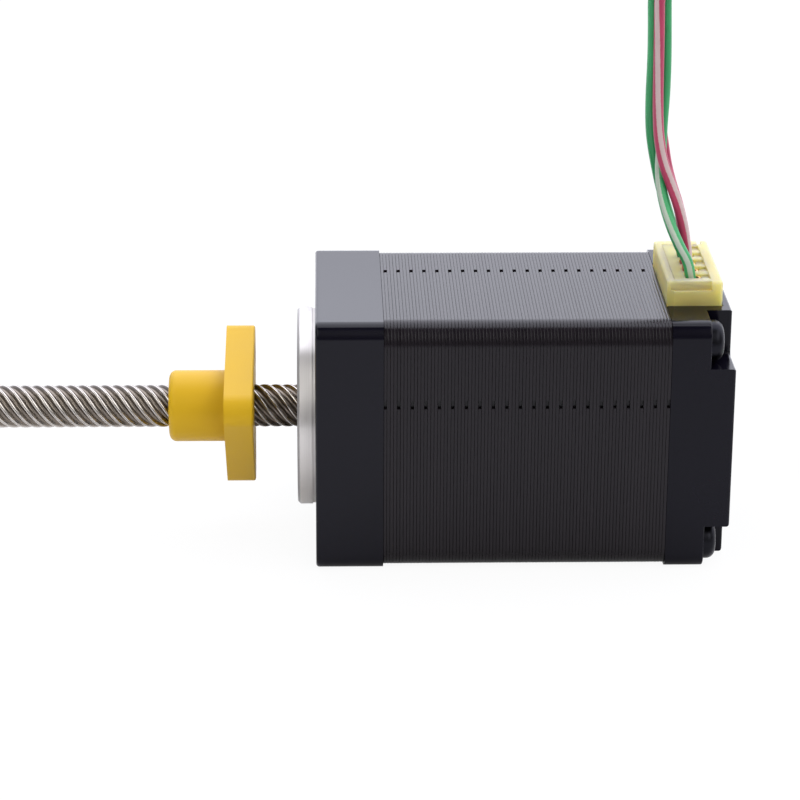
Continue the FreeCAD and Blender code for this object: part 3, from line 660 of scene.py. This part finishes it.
def ring_quads(first, second, count):
    """Quads between two closed outlines of equal count, given where each starts in the list of points."""
    k = np.arange(count)
    after = (k + 1) % count
    return np.stack([first + k, first + after, second + after, second + k], -1)


def whole_stack():
    """Skin, inner outlines at both ends, their walls, and end faces tessellated between the outlines."""
    rows, columns = skin.shape[:2]
    inner = [pole_outline()]
    inner += [hole_outline(y * HOLE_OFFSET, z * HOLE_OFFSET) for y in (-1, 1) for z in (-1, 1)]
    points = [skin.reshape(-1, 3)]
    faces = grid_quads(rows, columns).tolist()
    used = rows * columns
    ends = [[np.arange(columns)], [np.arange(columns) + (rows - 1) * columns]]
    for outline in inner:
        count = len(outline)
        points += [at_x(outline, stack_low.x), at_x(outline, stack_high.x)]
        faces += ring_quads(used, used + count, count).tolist()
        ends[0].append(used + np.arange(count))
        ends[1].append(used + count + np.arange(count))
        used += 2 * count
    points = np.concatenate(points)
    for loops in ends:
        order = np.concatenate(loops)
        triangles = tessellate_polygon([[Vector(points[i]) for i in loop] for loop in loops])
        faces += order[np.array(triangles)].tolist()
    return points, faces


def turn_faces_out(piece):
    """Make every face of a closed piece point outwards."""
    shell = bmesh.new()
    shell.from_mesh(piece.data)
    bmesh.ops.recalc_face_normals(shell, faces=shell.faces)
    shell.to_mesh(piece.data)
    shell.free()


SHEET_DARK = (0.0058, 0.0043, 0.0060, 1.0)
SHEET_PALE = (0.0092, 0.0070, 0.0092, 1.0)
# Painted shade: the seams between sheets get this flat colour in place of the sheet's own tone.
PAINTED_SEAM_SHADE = (0.0075, 0.0059, 0.0070, 1.0)
PAINTED_SEAM_SHADE_FADE = (0.06, 0.17)
CHANCE_SHARE = 0.55


def lamination_finish():
    """Blackened sheet edges: each sheet a little lighter or duller than the next, with painted shade down in the
    seams.
    """
    material, tree, shader = new_material("lamination_edges")
    x = object_place(tree)[1]
    along = math_node(tree, "DIVIDE", math_node(tree, "SUBTRACT", x, stack_low.x), sheet)
    number = math_node(tree, "FLOOR", along)
    chance = add(tree, "ShaderNodeTexWhiteNoise", {"W": number}, noise_dimensions="1D").outputs[0]
    part = math_node(tree, "FRACT", along)
    from_seam = math_node(tree, "MINIMUM", part, math_node(tree, "SUBTRACT", 1.0, part))
    face = step_mask(tree, from_seam, *PAINTED_SEAM_SHADE_FADE)
    grain = use_group(tree, GRAIN, Fine=9000.0, Broad=300.0)
    tone = math_node(tree, "ADD", math_node(tree, "MULTIPLY", chance, CHANCE_SHARE),
                     math_node(tree, "MULTIPLY", grain["Mask"], 1 - CHANCE_SHARE))
    tint = mix_colour(tree, tone, SHEET_DARK, SHEET_PALE)
    # Painted shade in the seams between the sheets.
    tint = mix_colour(tree, face, PAINTED_SEAM_SHADE, tint)
    feed(tree, shader, Base_Color=tint, Roughness=spread(tree, tone, 0.18, 0.25), Specular_IOR_Level=0.2)
    bump(tree, shader, grain["Height"], 0.06, 0.000008)
    return material


stack = make_piece("lamination_stack", *whole_stack(), "stator", "lamination_steel", lamination_finish())
turn_faces_out(stack)
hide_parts("stator_core")
print("sheets:", SHEET_COUNT, "of", round(sheet / MM, 3), "mm")

# %% [markdown]
# ## The lead screw
# Eight threads run side by side, so one turn moves the nut by ten millimetres. A thread could be
# swept as a profile along a helix, but the starts would have to be joined afterwards. Here the
# round grid itself is twisted: each column of points follows the helix, and its radius comes from
# the thread's profile, so all eight starts are one closed surface.

# %% Thread profile and screw
THREAD_STARTS = 8
THREAD_LEAD = 10.16 * MM
THREAD_STEP = 0.25 * MM
THREAD_END_X = -1.6 * MM
RUNOUT_X = -0.4 * MM
RUNOUT_ROWS = 7
SHOULDER_X = 0.5 * MM
SCREW_R = 2.38 * MM
SHAFT_R = 2.5 * MM
END_CHAMFER = 0.5 * MM
# Share of one start and depth below the crest: a crest with a fine seam, a flank, the root, a flank.
PROFILE = np.array([
    (-0.17, 0.085), (-0.13, 0.03), (-0.07, 0.005), (-0.03, 0.0), (0.0, 0.03), (0.03, 0.0), (0.07, 0.005),
    (0.13, 0.03), (0.17, 0.085), (0.30, 0.30), (0.38, 0.37), (0.5, 0.40), (0.62, 0.37), (0.70, 0.30),
]) * (1.0, MM)
screw_low, screw_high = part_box("lead_screw")


def thread_columns():
    """Angle and depth of every column: the profile of one start, repeated for all starts."""
    start = np.arange(THREAD_STARTS)[:, None]
    a = 2 * math.pi * (start + PROFILE[:, 0]) / THREAD_STARTS
    return a.ravel(), np.tile(PROFILE[:, 1], THREAD_STARTS)


def twisted(x, radius, angles):
    """Grid point = (x, r cos a, r sin a), with a = the column's angle + a turn for each lead up to the run-out."""
    a = angles[None] + 2 * math.pi * np.minimum(x, RUNOUT_X)[:, None] / THREAD_LEAD
    return np.stack([np.broadcast_to(x[:, None], a.shape), radius * np.cos(a), radius * np.sin(a)], -1)


def screw_surface():
    """Radius = the smaller of the bar's outline and the crest less the thread's depth, which fades at the run-out."""
    angles, depth = thread_columns()
    tip = screw_low.x
    count = int(round((THREAD_END_X - tip - END_CHAMFER) / THREAD_STEP))
    threaded = np.linspace(tip + END_CHAMFER, THREAD_END_X, count)
    fade_out = np.linspace(THREAD_END_X, RUNOUT_X, RUNOUT_ROWS)[1:]
    shaft = [SHOULDER_X, SHOULDER_X, screw_high.x - END_CHAMFER, screw_high.x]
    x = np.concatenate([[tip], threaded, fade_out, shaft])
    bar_x = [tip, tip + END_CHAMFER, SHOULDER_X]
    bar = np.interp(x, bar_x, [SCREW_R - END_CHAMFER, SCREW_R, SCREW_R])
    bar[-3:] = [SHAFT_R, SHAFT_R, SHAFT_R - END_CHAMFER]
    fade = np.interp(x, [THREAD_END_X, RUNOUT_X], [1.0, 0.0])
    radius = np.minimum(bar[:, None], bar.clip(SCREW_R)[:, None] - depth[None] * fade[:, None])
    return twisted(x, radius, angles)


def capped_grid(grid):
    """Points and faces of a wrapped grid with a flat face at each end."""
    rows, columns = grid.shape[:2]
    ends = [list(range(columns))[::-1], list(range((rows - 1) * columns, rows * columns))]
    return grid.reshape(-1, 3), grid_quads(rows, columns).tolist() + ends


# Painted shade: the thread roots are coloured darker than the crests.
ROOT_PAINTED_SHADE = (0.17, 0.145, 0.12, 1.0)
CREST_DARK = (0.36, 0.33, 0.30, 1.0)
CREST_PALE = (0.52, 0.49, 0.45, 1.0)
PAINTED_ROOT_SHADE_FADE = (SCREW_R - 0.30 * MM, SCREW_R - 0.01 * MM)


def screw_finish():
    """Rolled stainless thread: paler crests, and painted brown-grey shade down in the roots."""
    material, tree, shader = new_material("rolled_thread_steel")
    _, _, y, z = object_place(tree)
    crest = step_mask(tree, axis_distance(tree, y, z), *PAINTED_ROOT_SHADE_FADE)
    grain = use_group(tree, GRAIN, Fine=5000.0, Broad=700.0)
    bright = mix_colour(tree, grain["Mask"], CREST_DARK, CREST_PALE)
    # Painted shade in the roots, set by the distance from the screw axis.
    tint = mix_colour(tree, crest, ROOT_PAINTED_SHADE, bright)
    dull = math_node(tree, "ADD", spread(tree, crest, 0.33, 0.2), spread(tree, grain["Height"], -0.05, 0.05))
    feed(tree, shader, Base_Color=tint, Metallic=1.0, Roughness=dull)
    bump(tree, shader, grain["Height"], 0.2, 0.000008)
    return material


screw = make_piece("threaded_screw", *capped_grid(screw_surface()), "rotor", "screw_steel", screw_finish())
turn_faces_out(screw)
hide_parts("lead_screw")
print("thread:", THREAD_STARTS, "starts, lead", THREAD_LEAD / MM, "mm")

# %% [markdown]
# ## The nut's inner thread
# The nut is a turned plastic barrel on a three-cornered flange. Its ridges fill the grooves of the
# screw with a little play. They use the screw's own twisted grid, a hair wider, so they stay in the
# grooves wherever the nut travels.

# %% Nut thread
THREAD_PLAY = 0.035 * MM
RIDGE_OUTER_R = 2.45 * MM
RIDGE_INSET = 0.1 * MM
RIDGE_ROWS = 40
nut_low, nut_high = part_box("lead_nut")


def nut_thread():
    """A tube whose inner wall is the screw's profile plus the play, and whose outer wall is the nut's bore."""
    angles, depth = thread_columns()
    x = np.linspace(nut_low.x + RIDGE_INSET, nut_high.x - RIDGE_INSET, RIDGE_ROWS)
    inner = np.broadcast_to(SCREW_R + THREAD_PLAY - depth, (len(x), len(depth)))
    inner_wall = twisted(x, inner, angles)
    outer_wall = twisted(x, np.full_like(inner, RIDGE_OUTER_R), angles)
    grid = np.concatenate([inner_wall, outer_wall[::-1]])
    rows, columns = grid.shape[:2]
    faces = grid_quads(rows, columns).tolist()
    faces += ring_quads((rows - 1) * columns, 0, columns).tolist()
    return grid.reshape(-1, 3), faces


NUT_YELLOW = (0.48, 0.287, 0.0014, 1.0)
nut_plastic, nut_tree, nut_shader = plastic(
    "golden_acetal", NUT_YELLOW, 0.5, fine=2600.0, relief=0.00002, uneven=0.05)
feed(nut_tree, nut_shader, Specular_IOR_Level=0.22)
ridges = make_piece("nut_thread", *nut_thread(), "nut", "nut_plastic", nut_plastic)
turn_faces_out(ridges)

# %% [markdown]
# ## Finishes of the solids
# The caps are die-cast and painted black with a fine orange peel, but the pilot boss is turned
# after painting, so it is bare aluminium, with painted shade as a grey line along its front edge.
# All are on one solid, and the place along the axis tells them apart. The connector is natural nylon:
# light goes some way into it and partly through it, and its thin rim is painted paler than its foot, as painted
# light.

# %% Painted caps, turned boss and nylon
PAINT = (0.0026, 0.0022, 0.0052, 1.0)
SATIN_METAL = 0.6
MARK_SPREAD = 0.95
QUARTER_TURN = 0.25
# Width and colour of the painted shade along the front edge of the boss.
BOSS_EDGE_SHADE_WIDTH = 0.36 * MM
BOSS_EDGE_PAINTED_SHADE = (0.27, 0.26, 0.25, 1.0)
BOSS_DARK = (0.66, 0.63, 0.60, 1.0)
BOSS_PALE = (0.80, 0.765, 0.73, 1.0)
BARE_FADE = (-0.02 * MM, -0.06 * MM)
NYLON_DEPTH = 5.0 * MM
NYLON_RADIUS = (1.0, 0.85, 0.3)
NYLON_CLEAR = 0.38
NYLON_IOR = 1.2
NYLON_PATCH = 0.1
# Share of the height where the painted light of the paler rim begins.
PAINTED_RIM_LIGHT_FROM = 0.55
BLACK = (0.0, 0.0, 0.0, 1.0)
# Foot and rim colours of the painted light in each nylon part.
HEADER_PAINTED_LIGHT_COLOURS = ((1.0, 0.765, 0.26, 1.0), (0.80, 0.675, 0.345, 1.0))
PLUG_PAINTED_LIGHT_COLOURS = ((0.86, 0.70, 0.26, 1.0), (0.86, 0.71, 0.285, 1.0))
boss_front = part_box("front_end_cap")[0].x


def black_paint(name, bare_boss, gloss):
    """Semi-gloss black paint with orange peel; where asked, bare turned metal in front of the mounting face, with a
    painted shade line along its front edge.
    """
    material, tree, shader = new_material(name)
    x = object_place(tree)[1]
    grain = use_group(tree, GRAIN, Fine=1700.0, Broad=90.0)
    tint = mix_colour(tree, grain["Mask"], shade(PAINT, 0.8), shade(PAINT, 1.25))
    dull = spread(tree, grain["Mask"], 0.13, 0.19)
    if bare_boss:
        marks = use_group(tree, TURNED, Lines=12000.0)
        bare = step_mask(tree, x, *BARE_FADE)
        turned = mix_colour(tree, marks["Height"], BOSS_DARK, BOSS_PALE)
        # Painted shade: a grey band along the boss's front edge.
        edge = step_mask(tree, x, boss_front + BOSS_EDGE_SHADE_WIDTH, boss_front + BOSS_EDGE_SHADE_WIDTH / 2)
        turned = mix_colour(tree, edge, turned, BOSS_EDGE_PAINTED_SHADE)
        tint = mix_colour(tree, bare, tint, turned)
        dull = mix_value(tree, bare, dull, spread(tree, marks["Height"], 0.36, 0.52))
        feed(tree, shader, Metallic=math_node(tree, "MULTIPLY", bare, SATIN_METAL), Anisotropic=MARK_SPREAD,
             Anisotropic_Rotation=QUARTER_TURN)
        round_axis = add(tree, "ShaderNodeTangent", direction_type="RADIAL", axis="X").outputs[0]
        tree.links.new(round_axis, shader.inputs["Tangent"])
    feed(tree, shader, Base_Color=tint, Roughness=dull, Specular_IOR_Level=gloss)
    bump(tree, shader, grain["Height"], 0.1, 0.00001)
    return material


def nylon(name, node, thick, thin):
    """Natural nylon: a little light goes through it, and as painted light the thick foot is painted deeper yellow
    than the thin rim.
    """
    material, tree, shader = new_material(name)
    low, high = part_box(node)
    grain = use_group(tree, GRAIN, Fine=3500.0, Broad=350.0)
    # Painted light: colour by height, deeper yellow at the foot and paler at the rim.
    rim = step_mask(tree, object_place(tree)[3], low.z + PAINTED_RIM_LIGHT_FROM * (high.z - low.z), high.z)
    colour = mix_colour(tree, rim, thick, thin)
    tint = mix_colour(tree, math_node(tree, "MULTIPLY", grain["Mask"], NYLON_PATCH), colour, BLACK)
    feed(tree, shader, Base_Color=tint, Roughness=spread(tree, grain["Mask"], 0.5, 0.62), Specular_IOR_Level=0.25)
    feed(tree, shader, Subsurface_Weight=1.0, Subsurface_Scale=NYLON_DEPTH, Subsurface_Radius=NYLON_RADIUS)
    feed(tree, shader, Transmission_Weight=NYLON_CLEAR, IOR=NYLON_IOR)
    bump(tree, shader, grain["Height"], 0.15, 0.00001)
    return material


# %% [markdown]
# ## Finishes of the small and hidden pieces
# Each remaining solid gets the finish of its real material from two helpers: metal, with tool
# marks round the axis, and plastic, with a fine moulded grain.

# %% Finish of every solid
STEEL = (0.56, 0.55, 0.54, 1.0)
finish = {
    "front_end_cap": black_paint("black_paint_front", True, 0.165),
    "rear_end_cap": black_paint("black_paint_rear", False, 0.13),
    "lead_nut": nut_plastic,
    "header_housing": nylon("natural_nylon_header", "header_housing", *HEADER_PAINTED_LIGHT_COLOURS),
    "plug_housing": nylon("natural_nylon_plug", "plug_housing", *PLUG_PAINTED_LIGHT_COLOURS),
    "crimp_contacts": metal("tinned_contacts", (0.66, 0.36, 0.14, 1.0), 0.3)[0],
    "header_pins": metal("tinned_pins", (0.68, 0.64, 0.55, 1.0), 0.28)[0],
    "terminal_board": plastic("board_laminate", (0.05, 0.16, 0.05, 1.0), 0.45)[0],
    "case_screws": metal("black_oxide_screws", (0.014, 0.014, 0.017, 1.0), 0.36)[0],
    "coil_tie": plastic("tie_plastic", (0.03, 0.03, 0.032, 1.0), 0.4)[0],
    "wave_washer": metal("spring_steel", (0.34, 0.32, 0.30, 1.0), 0.3)[0],
    "rotor_spacer": metal("spacer_brass", (0.62, 0.45, 0.17, 1.0), 0.32)[0],
}
slot_lining = plastic("slot_lining", (0.72, 0.70, 0.64, 1.0), 0.5)[0]
winding = metal("enamelled_copper", (0.50, 0.17, 0.06, 1.0), 0.3, lines=3500.0, relief=0.00004)[0]
toothed = metal("rotor_steel", (0.38, 0.37, 0.36, 1.0), 0.36)[0]
magnet = metal("magnet_alloy", (0.24, 0.24, 0.25, 1.0), 0.42)[0]
sleeve = metal("sleeve_brass", (0.64, 0.46, 0.18, 1.0), 0.3)[0]
ring_steel = metal("bearing_steel", STEEL, 0.16)[0]
cage = metal("cage_steel", (0.48, 0.46, 0.43, 1.0), 0.34)[0]
shield = metal("shield_steel", (0.52, 0.51, 0.49, 1.0), 0.28)[0]
finish.update({"front_insulator": slot_lining, "rear_insulator": slot_lining})
finish.update({"phase_a_coils": winding, "phase_b_coils": winding})
for end in ("front", "rear"):
    finish.update({end + "_rotor_cup_outer": toothed, end + "_rotor_cup_inner": toothed})
    finish.update({end + "_rotor_magnet": magnet, end + "_shaft_sleeve": sleeve})
    finish.update({end + "_bearing_" + part: ring_steel for part in ("outer_ring", "inner_ring", "balls")})
    finish.update({end + "_bearing_cage": cage, end + "_bearing_shields": shield})
for name, material in finish.items():
    for slot in nodes[name].material_slots:
        slot.material = material
print("finishes set on", len(finish), "solids")

# %% [markdown]
# ## Floor and light
# The motor lies on a white table before a white sweep. Far in front the table is painted dark as
# painted shade, which keeps the near sides of the motor dark. A ray from the camera finds nearly
# plain white, so the table shows only a faint shadow.

# %% Floor
FLOOR_SIDE = 3.0
FLOOR_WHITE = (0.74, 0.74, 0.74, 1.0)
# Painted shade: the colour the floor turns to far in front of the motor.
FLOOR_FAR_PAINTED_SHADE = (0.06, 0.06, 0.06, 1.0)
FLOOR_SHADE_FAR_Y = -0.34
FLOOR_SHADE_NEAR_Y = -0.04
SHADOW_KEPT = 0.07
MIRRORED_WHITE = 0.2


def white_share(tree, near):
    """Share of plain white: most for a ray from the camera or through a clear surface, less for a mirrored
    ray that meets the near floor, none for soft light."""
    path = add(tree, "ShaderNodeLightPath").outputs
    seen = math_node(tree, "MAXIMUM", path["Is Camera Ray"], path["Is Transmission Ray"])
    mirrored = math_node(tree, "MULTIPLY", path["Is Glossy Ray"], near)
    unshaded = math_node(tree, "SUBTRACT", 1.0, math_node(tree, "MULTIPLY", near, SHADOW_KEPT))
    return math_node(tree, "MAXIMUM", math_node(tree, "MULTIPLY", seen, unshaded),
                     math_node(tree, "MULTIPLY", mirrored, MIRRORED_WHITE))


def floor_finish():
    """Pale matt floor with painted shade that darkens it far in front; a seen ray finds mostly plain white, and the
    rest keeps the shadow."""
    material = bpy.data.materials.new("white_table")
    material.use_nodes = True
    tree = material.node_tree
    tree.nodes.clear()
    noise = add(tree, "ShaderNodeTexNoise", {"Scale": 60.0, "Detail": 3.0}).outputs[0]
    # Painted shade: the floor's colour turns dark far in front of the motor.
    near = step_mask(tree, object_place(tree)[2], FLOOR_SHADE_FAR_Y, FLOOR_SHADE_NEAR_Y)
    tint = mix_colour(tree, near, FLOOR_FAR_PAINTED_SHADE, mix_colour(tree, noise, FLOOR_WHITE, shade(FLOOR_WHITE, 1.03)))
    matt = add(tree, "ShaderNodeBsdfDiffuse", {"Color": tint}).outputs[0]
    white = add(tree, "ShaderNodeEmission", {"Strength": 1.0}).outputs[0]
    both = add(tree, "ShaderNodeMixShader", {0: white_share(tree, near), 1: matt, 2: white}).outputs[0]
    add(tree, "ShaderNodeOutputMaterial", {"Surface": both})
    return material


floor_z = cad_box[0][2]
corners = np.array([(-1, -1), (1, -1), (1, 1), (-1, 1)]) * FLOOR_SIDE / 2
floor_mesh = bpy.data.meshes.new("floor")
floor_mesh.from_pydata(np.c_[corners, np.full(4, floor_z)].tolist(), [], [[0, 1, 2, 3]])
floor_mesh.materials.append(floor_finish())
floor = bpy.data.objects.new("floor", floor_mesh)
bpy.context.scene.collection.objects.link(floor)
print("floor at", round(floor_z / MM, 2), "mm")

# %% [markdown]
# The light is one world that is bright by direction. A wide panel stands behind, dimmer at its
# foot and at the far left and brighter high up. A weaker panel stands at each side, and two
# narrow ones stand beside the camera. Straight ahead of the motor it stays dark, so each rounded
# edge has a black line, and what the camera sees past the motor stays white.

# %% Light
BACK_LIGHT = 3.1
BACK_TOP_LIGHT = 1.0
BACK_FOOT_LIGHT = 2.05
SIDE_LIGHT = 1.0
LEFT_SHARE = 0.25
FRONT_LIGHT = 0.25
OVERHEAD_LIGHT = 0.03
FRONT_PANEL_LIGHT = 3.4
BACK_COLOUR = (0.88, 0.895, 1.0, 1.0)
PLAIN_WHITE = (1.0, 1.0, 1.0, 1.0)
# Ramps of a direction's x, y or z: where a light begins and where it is full.
BACK_FROM_Y = (-0.06, -0.01)
FOOT_Z = (0.285, 0.335)
TOP_Z = (0.55, 0.85)
LEFT_END_X = (-0.75, -0.4)
SIDE_FROM_X = (0.3, 0.56)
SIDE_FROM_Z = (0.0, 0.45)
FRONT_FALL_Z = (0.75, 0.0)
PANEL_RISE_Z = (0.08, 0.6)
PANEL_FALL_Z = (0.94, 0.80)
PANEL_INNER_X = (0.12, 0.28)
PANEL_OUTER_X = (0.75, 0.55)
LEFT_TO_RIGHT_X = (-0.1, 0.1)


def studio_world():
    """Brightness = the larger of the side panels and, by y, the panel behind or the dim front + its two panels."""
    world = bpy.data.worlds.new("studio")
    world.use_nodes = True
    tree = world.node_tree
    tree.nodes.clear()
    way = add(tree, "ShaderNodeTexCoord").outputs["Generated"]
    parts = add(tree, "ShaderNodeSeparateXYZ", {0: way}).outputs
    back = step_mask(tree, parts[1], *BACK_FROM_Y)
    panel = spread(tree, step_mask(tree, parts[2], *FOOT_Z), BACK_FOOT_LIGHT, BACK_LIGHT)
    high = spread(tree, step_mask(tree, parts[2], *TOP_Z), 0.0, BACK_TOP_LIGHT)
    panel = math_node(tree, "MULTIPLY", math_node(tree, "ADD", panel, high),
                      spread(tree, step_mask(tree, parts[0], *LEFT_END_X), LEFT_SHARE, 1.0))
    aside = math_node(tree, "ABSOLUTE", parts[0])
    side = math_node(tree, "MULTIPLY", step_mask(tree, aside, *SIDE_FROM_X), step_mask(tree, parts[2], *SIDE_FROM_Z))
    dim = spread(tree, step_mask(tree, parts[2], *FRONT_FALL_Z), OVERHEAD_LIGHT, FRONT_LIGHT)
    front_panel = math_node(tree, "MULTIPLY", step_mask(tree, parts[2], *PANEL_RISE_Z),
                            step_mask(tree, parts[2], *PANEL_FALL_Z))
    beside = math_node(tree, "MULTIPLY", step_mask(tree, aside, *PANEL_INNER_X),
                       step_mask(tree, aside, *PANEL_OUTER_X))
    front_panel = math_node(tree, "MULTIPLY", front_panel, beside)
    front = math_node(tree, "ADD", dim, math_node(tree, "MULTIPLY", front_panel, FRONT_PANEL_LIGHT))
    ahead = mix_value(tree, back, front, panel)
    one_side = spread(tree, step_mask(tree, parts[0], *LEFT_TO_RIGHT_X), SIDE_LIGHT * LEFT_SHARE, SIDE_LIGHT)
    light = math_node(tree, "MAXIMUM", ahead, math_node(tree, "MULTIPLY", side, one_side))
    path = add(tree, "ShaderNodeLightPath").outputs
    past = math_node(tree, "MAXIMUM", path["Is Camera Ray"], path["Is Transmission Ray"])
    strength = mix_value(tree, past, light, 1.0)
    cool = math_node(tree, "MULTIPLY", back, math_node(tree, "SUBTRACT", 1.0, past))
    colour = mix_colour(tree, cool, PLAIN_WHITE, BACK_COLOUR)
    glow = add(tree, "ShaderNodeBackground", {"Color": colour, "Strength": strength}).outputs[0]
    add(tree, "ShaderNodeOutputWorld", {"Surface": glow})
    return world


bpy.context.scene.world = studio_world()
bpy.context.scene.view_settings.view_transform = "Standard"
